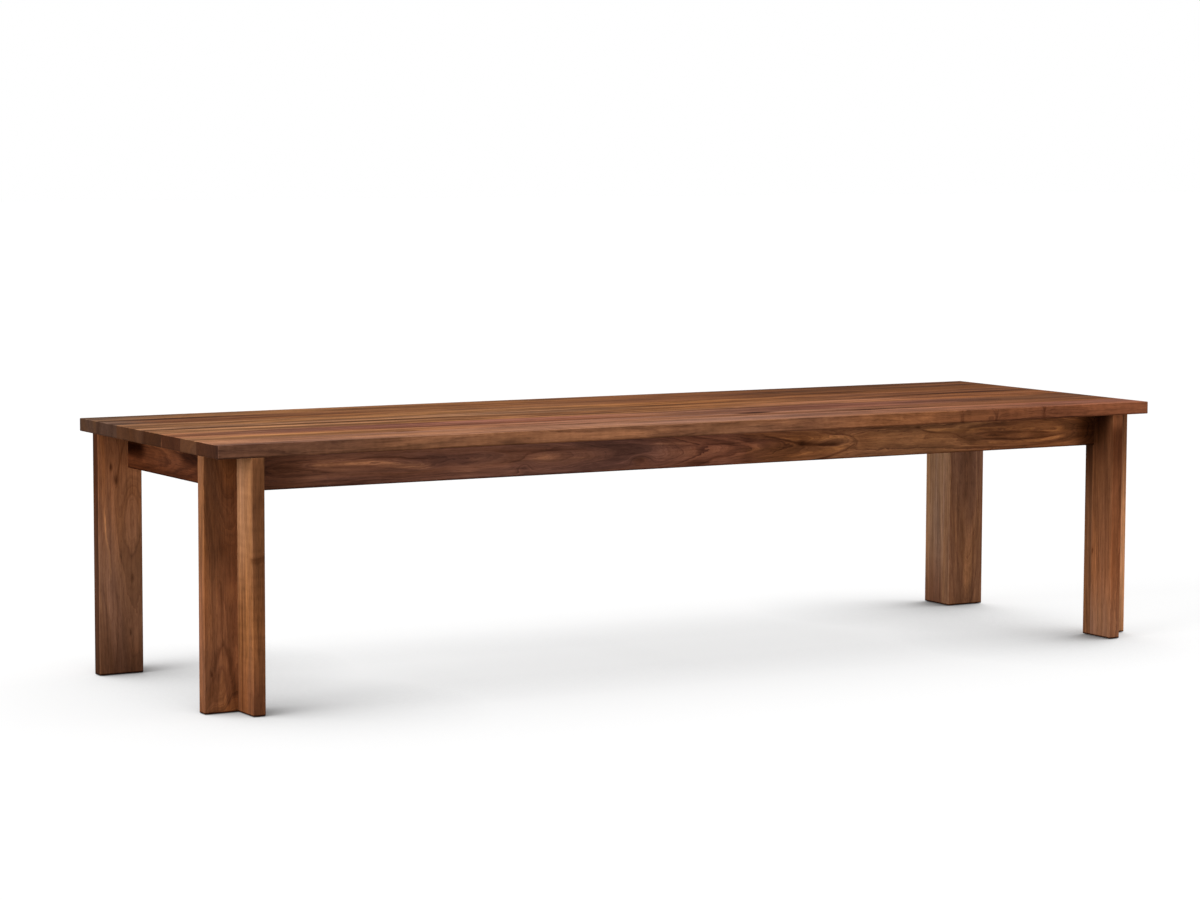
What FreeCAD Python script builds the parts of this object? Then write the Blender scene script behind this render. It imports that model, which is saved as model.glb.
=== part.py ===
import FreeCAD, Part
import math
import os

from FreeCAD import Placement, Rotation, Vector

# Refectory table in solid walnut: a plank top on a mortised apron frame with L-shaped corner legs.
# +Z is up, X runs along the table, Y across it, and the front long side faces -Y.
# The origin is on the floor under the middle of the top. All sizes are millimetres.

# Overall sizes
table_length = 3200.0
table_height = 750.0

# Top: planks glued edge to edge, numbered from the back to the front
top_thickness = 38.0
plank_1_width = 125.0
plank_2_width = 160.0
plank_3_width = 200.0
plank_4_width = 125.0
plank_5_width = 135.0
plank_6_width = 110.0
plank_7_width = 145.0
top_edge_radius = 2.5

# Legs: a side board along X, with an end board along Y glued to its outer face
leg_side_width = 138.0
leg_end_reach = 138.0
leg_board_thickness = 38.0
leg_edge_radius = 3.0
leg_foot_radius = 2.0

# Loose tenons that tie the two boards of a leg together
loose_tenon_thickness = 10.0
loose_tenon_height = 45.0
loose_tenon_length = 50.0
loose_tenon_count = 4
loose_tenon_flat = 0.02

# Aprons, set back from the inner faces of the legs
apron_height = 101.0
apron_thickness = 38.0
apron_setback = 5.0
apron_edge_radius = 1.5

# Apron tenons: the two at a corner cross inside the leg, one above the other
tenon_thickness = 12.0
tenon_edge_margin = 8.0
tenon_crossing_gap = 5.0
long_tenon_length = 60.0
end_tenon_length = 58.0
tenon_cheek_clearance = 0.15
tenon_end_clearance = 2.0

# Cross rails that hold the long aprons apart and carry the top
rail_count = 3
rail_height = 70.0
rail_thickness = 38.0
rail_edge_radius = 1.5
rail_tenon_thickness = 12.0
rail_tenon_margin = 12.0
rail_tenon_length = 15.0

# Diagonal braces across the inside corners of the apron frame
brace_thickness = 30.0
brace_height = 70.0
brace_corner_distance = 100.0
brace_drop = 14.0
brace_edge_radius = 1.5

# Buttons: blocks screwed to the top, each with a tongue in a slot of the apron
button_width = 36.0
button_length = 42.0
button_height = 20.0
button_edge_radius = 1.0
tongue_length = 10.0
tongue_drop = 9.0
tongue_step = 3.0
slot_end_clearance = 4.0
slot_depth_clearance = 2.0
slot_lower_clearance = 1.0
button_screw_distance = 27.0
end_button_offset = 170.0

# Countersunk wood screws
screw_shank_radius = 2.2
screw_head_radius = 4.4
screw_head_height = 3.0
screw_tip_length = 6.0
screw_recess_width = 1.1
screw_recess_depth = 1.6
screw_clearance = 0.1
screw_counterbore_clearance = 0.9
top_screw_bite = 22.0
rail_screw_cover = 30.0
rail_screw_offset = 280.0
rail_screw_travel = 4.0
brace_screw_bite = 24.0
brace_screw_sink = 7.0
brace_screw_spacing = 36.0

# Felt pads under the legs
pad_thickness = 2.0
pad_margin = 6.0

# Sizes and places that follow from those above
PLANK_WIDTHS = [
    plank_1_width,
    plank_2_width,
    plank_3_width,
    plank_4_width,
    plank_5_width,
    plank_6_width,
    plank_7_width,
]
table_width = sum(PLANK_WIDTHS)
top_underside = table_height - top_thickness
leg_outer_x = table_length / 2
leg_outer_y = table_width / 2
leg_inner_x = leg_outer_x - leg_side_width
leg_inner_y = leg_outer_y - leg_end_reach
leg_joint_y = leg_inner_y + leg_board_thickness
apron_inner_x = leg_inner_x + apron_setback
apron_inner_y = leg_inner_y + apron_setback
apron_bottom = top_underside - apron_height
tenon_offset = (leg_board_thickness - tenon_thickness) / 2
tenon_height = (apron_height - 2 * tenon_edge_margin - tenon_crossing_gap) / 2
long_tenon_bottom = apron_bottom + tenon_edge_margin
end_tenon_top = top_underside - tenon_edge_margin
rail_tenon_height = rail_height - 2 * rail_tenon_margin
bay_length = 2 * leg_inner_x / (rail_count + 1)
tongue_thickness = button_height - tongue_drop - tongue_step
slot_top = top_underside - tongue_drop
slot_bottom = slot_top - tongue_thickness - slot_lower_clearance
slot_depth = tongue_length + slot_depth_clearance
button_screw_length = button_height + top_screw_bite
rail_screw_length = rail_screw_cover + top_screw_bite
brace_screw_cover = brace_thickness / math.sqrt(2) - brace_screw_sink
brace_screw_length = brace_screw_cover + brace_screw_bite
pad_radius = leg_board_thickness / 2 - pad_margin

RAIL_PLACES = [-leg_inner_x + bay_length * (i + 1) for i in range(rail_count)]
BUTTON_PLACES = [-leg_inner_x + bay_length * (i + 0.5) for i in range(rail_count + 1)]
END_BUTTON_PLACES = [-end_button_offset, end_button_offset]
RAIL_SCREW_PLACES = [-rail_screw_offset, 0.0, rail_screw_offset]
CORNERS = {
    "front_left": (-1, -1),
    "front_right": (1, -1),
    "back_left": (-1, 1),
    "back_right": (1, 1),
}
UP = Vector(0, 0, 1)
ACROSS_X = Vector(1, 0, 0)
ACROSS_Y = Vector(0, 1, 0)

# Two coordinates closer than this are the same, and an edge this near an axis runs along it
same_place = 1e-4
same_direction = 0.99


def block(x_range, y_range, z_range):
    """A box between two limits on each axis."""
    size = [high - low for low, high in (x_range, y_range, z_range)]
    return Part.makeBox(*size, Vector(x_range[0], y_range[0], z_range[0]))


def grown(limits, amount):
    """Limits moved out by an amount at both ends."""
    return (limits[0] - amount, limits[1] + amount)


def about(middle, half):
    """Limits at an equal distance on both sides of a middle."""
    return (middle - half, middle + half)


def near(a, b):
    return abs(a - b) < same_place


def along(direction, axis):
    """True if an edge's direction runs along the axis with this index."""
    return abs(direction[axis]) > same_direction * direction.Length


def rounded(shape, radius, chosen):
    """Rounds the edges whose middle point and direction the chosen test accepts."""
    edges = []
    for edge in shape.Edges:
        middle = edge.valueAt((edge.FirstParameter + edge.LastParameter) / 2)
        direction = edge.Vertexes[-1].Point - edge.Vertexes[0].Point
        if chosen(middle, direction):
            edges.append(edge)
    return shape.makeFillet(radius, edges)


def with_mirror(shapes, normal):
    """The shapes, with their mirror images across the table's middle plane."""
    return shapes + [shape.mirror(Vector(0, 0, 0), normal) for shape in shapes]


def to_corner(shape, sign_x, sign_y):
    """Mirrors a shape modelled in the +X +Y corner into another corner."""
    if sign_x < 0:
        shape = shape.mirror(Vector(0, 0, 0), ACROSS_X)
    if sign_y < 0:
        shape = shape.mirror(Vector(0, 0, 0), ACROSS_Y)
    return shape


# Screws: made along +Z with the head's face at z = 0, then turned into place


def screw_section(length, extra):
    """Half section of a countersunk screw, grown by extra, from the head to the tip."""
    shank = screw_shank_radius + extra
    head = screw_head_radius + extra
    return [
        Vector(0, 0, 0),
        Vector(head, 0, 0),
        Vector(shank, 0, screw_head_height),
        Vector(shank, 0, length - screw_tip_length),
        Vector(0, 0, length + extra),
    ]


def face_of(points):
    return Part.Face(Part.makePolygon(points + [points[0]]))


def turned(points):
    """Solid of revolution about Z of a half section."""
    return face_of(points).revolve(Vector(0, 0, 0), UP, 360)


def placed(shape, point, direction):
    """A copy of a shape made along +Z, moved to a point and turned to a direction."""
    moved = shape.copy()
    moved.Placement = Placement(Vector(*point), Rotation(UP, Vector(*direction)))
    return moved


def screw(length, point, direction):
    """A wood screw with a cross recess, its head's face at the point."""
    half = screw_recess_width / 2
    arm = screw_head_radius / 2
    recess = [
        block((-arm, arm), (-half, half), (0, screw_recess_depth)),
        block((-half, half), (-arm, arm), (0, screw_recess_depth)),
    ]
    return placed(turned(screw_section(length, 0)).cut(recess), point, direction)


def screw_bore(length, counterbore, point, direction):
    """A screw's hole: its outline with a clearance, and the counterbore that the head goes in by."""
    bore = turned(screw_section(length, screw_clearance))
    if counterbore > 0:
        radius = screw_head_radius + screw_counterbore_clearance
        bore = bore.fuse(Part.makeCylinder(radius, counterbore, Vector(0, 0, -counterbore)))
    return placed(bore, point, direction)


def slotted_bore(length, counterbore, point, direction):
    """A screw's hole drawn out along Y, so that the top can swell and shrink across its width."""
    half_section = screw_section(length, screw_clearance)
    radius = screw_head_radius + screw_counterbore_clearance
    left_half = [Vector(-corner.x, 0, corner.z) for corner in half_section[-2:0:-1]]
    section = face_of(half_section[1:] + left_half)
    section.translate(Vector(0, -rail_screw_travel, 0))
    head_room = block((-radius, radius), about(0, rail_screw_travel), (-counterbore, 0))
    middle = section.extrude(Vector(0, 2 * rail_screw_travel, 0)).fuse(head_room)
    slot = placed(middle, point, direction)
    for shift in (-rail_screw_travel, rail_screw_travel):
        end = (point[0], point[1] + shift, point[2])
        slot = slot.fuse(screw_bore(length, counterbore, end, direction))
    return slot


# Where the screws go: a point on the head's face and a direction


def button_screw_places():
    """Screws up through the buttons on all four aprons."""
    head_z = top_underside - button_height
    side_y = apron_inner_y - button_screw_distance
    end_x = apron_inner_x - button_screw_distance
    points = [(x, sign * side_y, head_z) for sign in (-1, 1) for x in BUTTON_PLACES]
    points += [(sign * end_x, y, head_z) for sign in (-1, 1) for y in END_BUTTON_PLACES]
    return [(point, (0, 0, 1)) for point in points]


def rail_screw_places():
    """Screws up through the cross rails, each with its head deep in a counterbore."""
    head_z = top_underside - rail_screw_cover
    return [((x, y, head_z), (0, 0, 1)) for x in RAIL_PLACES for y in RAIL_SCREW_PLACES]


def brace_screw_places():
    """Screws from the +X +Y brace square into the two aprons beside it."""
    reach = brace_corner_distance + brace_thickness / math.sqrt(2)
    middle_z = top_underside - brace_drop - brace_height / 2
    found = []
    for z in about(middle_z, brace_screw_spacing / 2):
        on_long_apron = (apron_inner_x - reach, apron_inner_y - brace_screw_cover, z)
        on_end_apron = (apron_inner_x - brace_screw_cover, apron_inner_y - reach, z)
        found.append((on_long_apron, (0, 1, 0)))
        found.append((on_end_apron, (1, 0, 0)))
    return found


def top_pilot_holes():
    """Every screw hole that reaches into the top."""
    holes = [screw_bore(button_screw_length, 0, p, d) for p, d in button_screw_places()]
    holes += [screw_bore(rail_screw_length, 0, p, d) for p, d in rail_screw_places()]
    return holes


# Top


def plank(low_y, high_y):
    """A plank of the top, eased only where it has an outer edge of the top."""
    outer_sides = [y for y in (low_y, high_y) if near(abs(y), table_width / 2)]
    board = block(
        about(0, table_length / 2), (low_y, high_y), (top_underside, table_height)
    )

    def on_outside(middle, direction):
        on_end = near(abs(middle.x), table_length / 2)
        on_side = any(near(middle.y, y) for y in outer_sides)
        if along(direction, 2):
            return on_end and on_side
        return on_end if along(direction, 1) else on_side

    board = rounded(board, top_edge_radius, on_outside)
    holes = [hole for hole in top_pilot_holes() if hole.BoundBox.intersect(board.BoundBox)]
    return board.cut(holes) if holes else board


def planks():
    made = {}
    high_y = table_width / 2
    for number, plank_width in enumerate(PLANK_WIDTHS, start=1):
        low_y = high_y - plank_width
        made[f"top_plank_{number}"] = plank(low_y, high_y)
        high_y = low_y
    return made


# Legs, modelled in the +X +Y corner


def long_tenon(extra, end_extra):
    """The long apron's tenon in the leg, in the lower half of the apron."""
    cheek = leg_inner_y + tenon_offset
    return block(
        (leg_inner_x, leg_inner_x + long_tenon_length + end_extra),
        grown((cheek, cheek + tenon_thickness), extra),
        grown((long_tenon_bottom, long_tenon_bottom + tenon_height), extra),
    )


def end_tenon(extra, end_extra):
    """The end apron's tenon, through the side board into the end board, in the upper half."""
    cheek = leg_inner_x + tenon_offset
    return block(
        grown((cheek, cheek + tenon_thickness), extra),
        (leg_inner_y, leg_inner_y + end_tenon_length + end_extra),
        grown((end_tenon_top - tenon_height, end_tenon_top), extra),
    )


def loose_tenons(extra, end_extra):
    """Loose tenons across the joint of the two leg boards, evenly spaced below the aprons."""
    middle_x = leg_inner_x + leg_board_thickness / 2
    spacing = (apron_bottom - pad_thickness) / loose_tenon_count
    round_radius = (loose_tenon_thickness - loose_tenon_flat) / 2 + extra
    found = []
    for i in range(loose_tenon_count):
        middle_z = pad_thickness + spacing * (i + 0.5)
        tenon = block(
            about(middle_x, loose_tenon_thickness / 2 + extra),
            about(leg_joint_y, loose_tenon_length / 2 + end_extra),
            about(middle_z, loose_tenon_height / 2 + extra),
        )
        found.append(rounded(tenon, round_radius, lambda middle, direction: along(direction, 1)))
    return found


def leg_mortises():
    """The room for all the tenons in a leg."""
    clearances = (tenon_cheek_clearance, tenon_end_clearance)
    return [long_tenon(*clearances), end_tenon(*clearances)] + loose_tenons(*clearances)


def leg_side_board():
    """The leg's full-width board, along the table, eased at its free corners and foot."""
    board = block(
        (leg_inner_x, leg_outer_x), (leg_inner_y, leg_joint_y), (pad_thickness, top_underside)
    )

    def free_corner(middle, direction):
        glued = near(middle.x, leg_inner_x) and near(middle.y, leg_joint_y)
        return along(direction, 2) and not glued

    def foot(middle, direction):
        return near(middle.z, pad_thickness)

    board = rounded(board, leg_edge_radius, free_corner)
    return rounded(board, leg_foot_radius, foot).cut(leg_mortises())


def leg_end_board():
    """The leg's second board, across the table, glued by its edge to the side board."""
    board = block(
        (leg_inner_x, leg_inner_x + leg_board_thickness),
        (leg_joint_y, leg_outer_y),
        (pad_thickness, top_underside),
    )

    def free_corner(middle, direction):
        return along(direction, 2) and near(middle.y, leg_outer_y)

    def free_foot(middle, direction):
        return near(middle.z, pad_thickness) and not near(middle.y, leg_joint_y)

    board = rounded(board, leg_edge_radius, free_corner)
    return rounded(board, leg_foot_radius, free_foot).cut(leg_mortises())


def leg_pads():
    """Felt pads under the free end of each leg board and under their common corner."""
    half = leg_board_thickness / 2
    inner_x = leg_inner_x + half
    inner_y = leg_inner_y + half
    places = [
        (inner_x, inner_y),
        (leg_outer_x - half, inner_y),
        (inner_x, leg_outer_y - half),
    ]
    return [Part.makeCylinder(pad_radius, pad_thickness, Vector(x, y, 0)) for x, y in places]


def leg_pieces():
    made = {}
    for corner, signs in CORNERS.items():
        made[f"leg_{corner}_side_board"] = to_corner(leg_side_board(), *signs)
        made[f"leg_{corner}_end_board"] = to_corner(leg_end_board(), *signs)
        made[f"leg_{corner}_loose_tenons"] = [to_corner(t, *signs) for t in loose_tenons(0, 0)]
        made[f"leg_{corner}_felt_pads"] = [to_corner(pad, *signs) for pad in leg_pads()]
    return made


# Apron frame


def button_slot_range(place):
    return about(place, button_width / 2 + slot_end_clearance)


def brace_pilot_holes(normal):
    """The brace screws' holes at both ends of an apron."""
    holes = [screw_bore(brace_screw_length, 0, p, d) for p, d in brace_screw_places()]
    return with_mirror(holes, normal)


def long_apron():
    """The back apron, with its tenons, button slots, rail mortises and screw holes."""
    apron = block(
        about(0, leg_inner_x),
        (apron_inner_y, apron_inner_y + apron_thickness),
        (apron_bottom, top_underside),
    )

    def lower_edge(middle, direction):
        return near(middle.z, apron_bottom) and along(direction, 0)

    apron = rounded(apron, apron_edge_radius, lower_edge)
    apron = apron.fuse(with_mirror([long_tenon(0, 0)], ACROSS_X))
    slots = [
        block(
            button_slot_range(x),
            (apron_inner_y, apron_inner_y + slot_depth),
            (slot_bottom, slot_top),
        )
        for x in BUTTON_PLACES
    ]
    mortises = [rail_tenon(x, tenon_cheek_clearance, tenon_end_clearance) for x in RAIL_PLACES]
    return apron.cut(slots + mortises + brace_pilot_holes(ACROSS_X)).removeSplitter()


def end_apron():
    """The right-hand end apron, with its tenons, button slots and screw holes."""
    apron = block(
        (apron_inner_x, apron_inner_x + apron_thickness),
        about(0, leg_inner_y),
        (apron_bottom, top_underside),
    )

    def lower_edge(middle, direction):
        return near(middle.z, apron_bottom) and along(direction, 1)

    apron = rounded(apron, apron_edge_radius, lower_edge)
    apron = apron.fuse(with_mirror([end_tenon(0, 0)], ACROSS_Y))
    slots = [
        block(
            (apron_inner_x, apron_inner_x + slot_depth),
            button_slot_range(y),
            (slot_bottom, slot_top),
        )
        for y in END_BUTTON_PLACES
    ]
    return apron.cut(slots + brace_pilot_holes(ACROSS_Y)).removeSplitter()


def rail_tenon(place, extra, end_extra):
    """A cross rail's stub tenon in the back apron."""
    return block(
        about(place, rail_tenon_thickness / 2 + extra),
        (apron_inner_y, apron_inner_y + rail_tenon_length + end_extra),
        about(top_underside - rail_height / 2, rail_tenon_height / 2 + extra),
    )


def cross_rail(place):
    """A rail between the long aprons, counterbored for the screws that hold the top."""
    bottom = top_underside - rail_height
    rail = block(
        about(place, rail_thickness / 2), about(0, apron_inner_y), (bottom, top_underside)
    )

    def lower_edge(middle, direction):
        return near(middle.z, bottom) and along(direction, 1)

    rail = rounded(rail, rail_edge_radius, lower_edge)
    rail = rail.fuse(with_mirror([rail_tenon(place, 0, 0)], ACROSS_Y))
    counterbore = rail_height - rail_screw_cover
    bores = []
    for point, direction in rail_screw_places():
        if near(point[0], place):
            bore = screw_bore if near(point[1], 0) else slotted_bore
            bores.append(bore(rail_screw_length, counterbore, point, direction))
    return rail.cut(bores).removeSplitter()


def corner_brace():
    """A diagonal board across the +X +Y inside corner, mitred to the two aprons."""
    near_reach = brace_corner_distance
    far_reach = brace_corner_distance + brace_thickness * math.sqrt(2)
    bottom = top_underside - brace_drop - brace_height
    outline = [
        Vector(apron_inner_x - near_reach, apron_inner_y, bottom),
        Vector(apron_inner_x - far_reach, apron_inner_y, bottom),
        Vector(apron_inner_x, apron_inner_y - far_reach, bottom),
        Vector(apron_inner_x, apron_inner_y - near_reach, bottom),
    ]
    brace = face_of(outline).extrude(Vector(0, 0, brace_height))

    def lower_long_edge(middle, direction):
        on_an_axis = any(along(direction, axis) for axis in range(3))
        return near(middle.z, bottom) and not on_an_axis

    brace = rounded(brace, brace_edge_radius, lower_long_edge)
    bores = [
        screw_bore(brace_screw_length, brace_thickness, p, d) for p, d in brace_screw_places()
    ]
    return brace.cut(bores)


def frame_pieces():
    made = {
        "apron_back": long_apron(),
        "apron_front": to_corner(long_apron(), 1, -1),
        "apron_right_end": end_apron(),
        "apron_left_end": to_corner(end_apron(), -1, 1),
    }
    for number, place in enumerate(RAIL_PLACES, start=1):
        made[f"cross_rail_{number}"] = cross_rail(place)
    for corner, signs in CORNERS.items():
        made[f"corner_brace_{corner}"] = to_corner(corner_brace(), *signs)
    return made


# Buttons, modelled against an apron whose inner face is at y = 0 and that lies towards +Y


def button():
    """A button with its tongue, centred on x = 0, with a countersunk screw hole."""
    bottom = top_underside - button_height
    body = block(about(0, button_width / 2), (-button_length, 0), (bottom, top_underside))

    def free_edge(middle, direction):
        on_front = near(middle.y, -button_length)
        on_bottom = near(middle.z, bottom) and not near(middle.y, 0)
        return on_front or on_bottom

    body = rounded(body, button_edge_radius, free_edge)
    tongue = block(
        about(0, button_width / 2), (0, tongue_length), (slot_top - tongue_thickness, slot_top)
    )
    head = (0, -button_screw_distance, bottom)
    hole = screw_bore(button_screw_length, button_edge_radius, head, (0, 0, 1))
    return body.fuse(tongue).cut(hole).removeSplitter()


def button_at(x, y, turn):
    moved = button()
    moved.Placement = Placement(Vector(x, y, 0), Rotation(UP, turn))
    return moved


def button_pieces():
    """The buttons, one node for each apron."""
    return {
        "top_buttons_back": [button_at(x, apron_inner_y, 0) for x in BUTTON_PLACES],
        "top_buttons_front": [button_at(x, -apron_inner_y, 180) for x in BUTTON_PLACES],
        "top_buttons_right_end": [button_at(apron_inner_x, y, -90) for y in END_BUTTON_PLACES],
        "top_buttons_left_end": [button_at(-apron_inner_x, y, 90) for y in END_BUTTON_PLACES],
    }


def screw_pieces():
    """The screws, one node for each use."""
    brace_screws = [screw(brace_screw_length, p, d) for p, d in brace_screw_places()]
    return {
        "top_button_screws": [screw(button_screw_length, p, d) for p, d in button_screw_places()],
        "cross_rail_screws": [screw(rail_screw_length, p, d) for p, d in rail_screw_places()],
        "corner_brace_screws": [
            to_corner(one, *signs) for signs in CORNERS.values() for one in brace_screws
        ],
    }


def main():
    os.makedirs("parts", exist_ok=True)
    pieces = {**planks(), **leg_pieces(), **frame_pieces(), **button_pieces(), **screw_pieces()}
    for node, piece in pieces.items():
        shape = Part.makeCompound(piece) if isinstance(piece, list) else piece
        shape.exportStep(f"parts/{node}.step")
        print(f"{node}: {len(shape.Solids)} solids, {shape.Volume / 1000:.1f} cm3")


main()
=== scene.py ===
"""Looks of the refectory table: oiled walnut boards, steel screws, felt pads, and a white studio."""

import math
from collections import namedtuple
from dataclasses import dataclass

import bmesh
import bpy
from mathutils import Matrix, Vector, noise

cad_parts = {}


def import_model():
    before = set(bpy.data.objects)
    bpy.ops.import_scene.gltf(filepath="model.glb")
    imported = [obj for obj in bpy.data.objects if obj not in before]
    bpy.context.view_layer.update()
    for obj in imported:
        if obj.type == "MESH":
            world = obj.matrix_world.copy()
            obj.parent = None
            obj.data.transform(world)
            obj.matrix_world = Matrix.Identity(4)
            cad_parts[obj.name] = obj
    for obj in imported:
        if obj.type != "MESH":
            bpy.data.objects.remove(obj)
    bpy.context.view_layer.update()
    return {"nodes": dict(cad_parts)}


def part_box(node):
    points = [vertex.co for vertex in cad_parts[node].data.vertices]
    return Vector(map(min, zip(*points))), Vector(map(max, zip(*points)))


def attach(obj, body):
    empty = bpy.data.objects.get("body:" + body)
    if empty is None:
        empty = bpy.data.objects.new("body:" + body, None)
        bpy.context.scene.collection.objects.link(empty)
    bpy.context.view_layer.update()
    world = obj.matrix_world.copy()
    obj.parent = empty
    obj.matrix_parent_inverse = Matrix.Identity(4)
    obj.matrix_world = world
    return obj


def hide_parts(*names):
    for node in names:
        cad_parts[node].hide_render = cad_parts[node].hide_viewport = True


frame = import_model()

X = Vector((1, 0, 0))
Y = Vector((0, 1, 0))
Z = Vector((0, 0, 1))

# Tones of oiled walnut and of beech, as colours of 0 to 255 for the pale part of a growth ring.
TAN = (192, 136, 94)
GOLD = (180, 120, 76)
OLIVE = (156, 105, 66)
CHESTNUT = (162, 104, 68)
RUSSET = (166, 98, 64)
ROSE = (182, 124, 92)
BLUSH = (186, 132, 102)
UMBER = (138, 88, 56)
TAWNY = (152, 106, 78)
PLUM = (138, 91, 71)
MAUVE = (168, 107, 82)
SMOKE = (166, 126, 98)
BEECH = (206, 168, 128)

# Factors on a tone in linear light: for the dark part of a growth ring, end grain, pores, the two hues of
# the wood, a full dark shade, a full pale shade (which divides by its factor) and a worn edge with painted
# highlight.
DARK_RING = (0.27, 0.25, 0.29)
END_GRAIN = (0.30, 0.27, 0.275)
PORE = (0.38, 0.34, 0.34)
WARM = (1.08, 1.00, 0.82)
COOL = (0.95, 0.98, 1.08)
STAIN = (0.34, 0.29, 0.26)
BLEACH = (0.36, 0.35, 0.45)
WORN_EDGE_AND_HIGHLIGHT = (1.22, 1.28, 1.35)

# Sizes of the wood's figure, its wear with painted highlight and its painted shade, in metres.
BAND_SPACING = 0.0135
RING_SPACING = 0.0045
SLOW_BEND_SIZE = 0.034
QUICK_BEND_SIZE = 0.008
VEIN_LIFT = 0.004
MARK_WOBBLE = (0.03, 0.011, 0.011)
CURVE_MARGIN = 0.01
EDGE_WIDTH = 0.003
GLUE_LINE = 0.0006
# The next size is how high the painted shade on a lowest edge reaches.
LOW_EDGE_SHADE_HEIGHT = 0.006
GRAIN_DEPTH = 0.0003

# Noise in the wood: its frequencies along the grain, across the board and through its depth, then its
# detail and, if it isn't 0.5, its roughness.
SLOW_BEND = ((1.1, 5, 5), 2)
QUICK_BEND = ((9, 30, 30), 4, 0.6)
WOBBLES = ((8, 26, 26), 4, 0.6)
BLURS = ((5, 40, 40), 3)
WEAR = ((14, 14, 14), 3)
BOARD_NOISE = {
    "fades": ((2.2, 11, 11), 2),
    "zones": ((0.9, 9, 9), 3),
    "mottle": ((18, 55, 55), 3, 0.6),
    "strands": ((3.0, 85, 85), 4, 0.7),
    "fibres": ((9, 340, 340), 3),
    "pores": ((42, 1500, 1500), 1),
    "ripple": ((60, 9, 9), 1),
}

# Noise that follows the growth rings: from ring to ring, along the grain and from board to board.
RING_NOISE = {
    "streaks": ((42, 1.7, 1), 6, 0.66),
    "lines": ((260, 2.6, 1), 3, 0.7),
    "hues": ((16, 0.9, 1), 3),
}

# How far apart the noise of two boards lies, and the growth rings and streaks of two boards.
BOARD_STEP = (13.7, 7.3, 3.1)
RING_STEP = 17.0
FLOW_STEP = 3.3

# How dark the bands, the rings and the streaks are, how much each noise lightens and darkens the wood, and
# how far two tones run into each other, as a share of the board's length.
BAND_DEPTH = 0.70
RING_DEPTH = 0.55
STREAK_DEPTH = 0.75
SWINGS = {"zones": 0.7, "fibres": 0.75, "strands": 0.95, "lines": 0.8, "mottle": 0.45}
RIPPLE_SWING = 0.6
TONE_BLUR = 0.12

# What is left of the figure, of the noise and of the marks on end grain, as shares.
END_FIGURE = 0.25
END_SWING = 0.6
END_MARKS = 0.35

# Strength of the painted shade along the lowest few millimetres of a leg, and of any other board, for the
# shadow there.
FOOT_PAINTED_SHADE = 3.0
OTHER_EDGE_PAINTED_SHADE = 1.0

# Roughness and thin sheen of the oiled wood.
WOOD_ROUGHNESS = 0.60
OIL_WEIGHT = 0.035
OIL_ROUGHNESS = 0.42

# Colours of 0 to 255 of the zinc plating and the felt.
ZINC_YELLOW = (178, 170, 146)
ZINC_WHITE = (206, 206, 202)
BARE_SCRATCH = (226, 226, 228)
FELT_DARK = (58, 48, 42)
FELT_PALE = (82, 70, 62)
FELT_LINT = (128, 114, 102)
FELT_DUST = (120, 110, 100)

# The felt pads under the legs, in metres: each is pressed to a little less than its solid. The profile
# gives shares of the radius and of the height. The rim strays by PAD_RAGGED, about PAD_RAGS times a metre.
LEG_CORNERS = ("front_left", "front_right", "back_left", "back_right")
PAD_SOLID_RADIUS = 0.013
PAD_RADIUS = 0.0128
PAD_HEIGHT = 0.0019
PAD_PROFILE = (
    (0.3, 0.0), (0.6, 0.0), (0.88, 0.0), (0.95, 0.06), (0.99, 0.25), (1.0, 0.5),
    (0.99, 0.75), (0.95, 0.94), (0.88, 1.0), (0.6, 1.0), (0.3, 1.0),
)
PAD_STEPS = 96
PAD_RAGGED = 0.0003
PAD_RAGS = 900

# The camera: its place in metres, its turns in degrees, its lens and its picture's width in millimetres.
CAMERA_PLACE = (-5.3104, -8.8996, 1.6036)
CAMERA_YAW = 30.2689
CAMERA_PITCH = 5.3931
CAMERA_ROLL = -0.2008
CAMERA_LENS = 102.09
PICTURE_WIDTH = 36.0

# The floor, in metres and shares. Light that goes less than FOOT_GAP passes through it, under the feet.
# The shadow reaches SHADOW_REACH from what casts it and leans towards the table's middle.
FLOOR_SIZE = 60.0
FOOT_GAP = 0.003
SHADOW_REACH = 0.65
SHADOW_LEAN = (0.8, 0.6, 0.0)
SHADOW_DEPTH = 1.8
WHITE_SHARE = 0.7
FLOOR_GREY = (0.6, 0.6, 0.6, 1)
WHITE = (1, 1, 1, 1)

# The studio's light: the strength from all sides, and each lamp's name, direction towards the lamp,
# spread in degrees and strength.
ROOM_LIGHT = 0.35
LAMPS = (
    ("overhead", (0.45, 0.35, 1.0), 90, 0.65),
    ("left", (-1.0, -0.15, 0.32), 40, 0.75),
)

# A mark bends the growth rings by lift metres and darkens by shade (below 0 it lightens), within reach of
# its centre. Centre and reach are along the grain, across the board and through its depth, in metres.
Mark = namedtuple("Mark", "centre reach lift shade")
THROUGH = 0.1


def streak(along, across, length, width, shade):
    """A long soft mark through the board: dark above 0, pale below. Some are grain; some are painted shade
    or light.
    """
    return Mark((along, across, 0.0), (length / 2, width / 2, THROUGH), 0.0, shade)


def knot(along, across, size, shade=0.9):
    """A small knot through the board that the growth rings bend round."""
    return Mark((along, across, 0.0), (1.5 * size, 0.6 * size, THROUGH), 0.9 * size, shade)


def swell(along, across, length, width, lift, shade=0.0):
    """An oval where the growth rings bulge, which shows as loops inside each other."""
    return Mark((along, across, 0.0), (length / 2, width / 2, THROUGH), lift, shade)


def edge_crack(along, across, size):
    """A dark bark line on a board's long edge."""
    return Mark((along, across, 0.0), (0.3 * size, size, THROUGH), 0.3 * size, 0.55)


def end_sliver(along, across, depth, height):
    """A thin pale line in the end grain, upright beside a glued joint."""
    return Mark((along, across, depth), (0.3 * height, 0.15 * height, height / 2), 0.0, -3.0)


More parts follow.
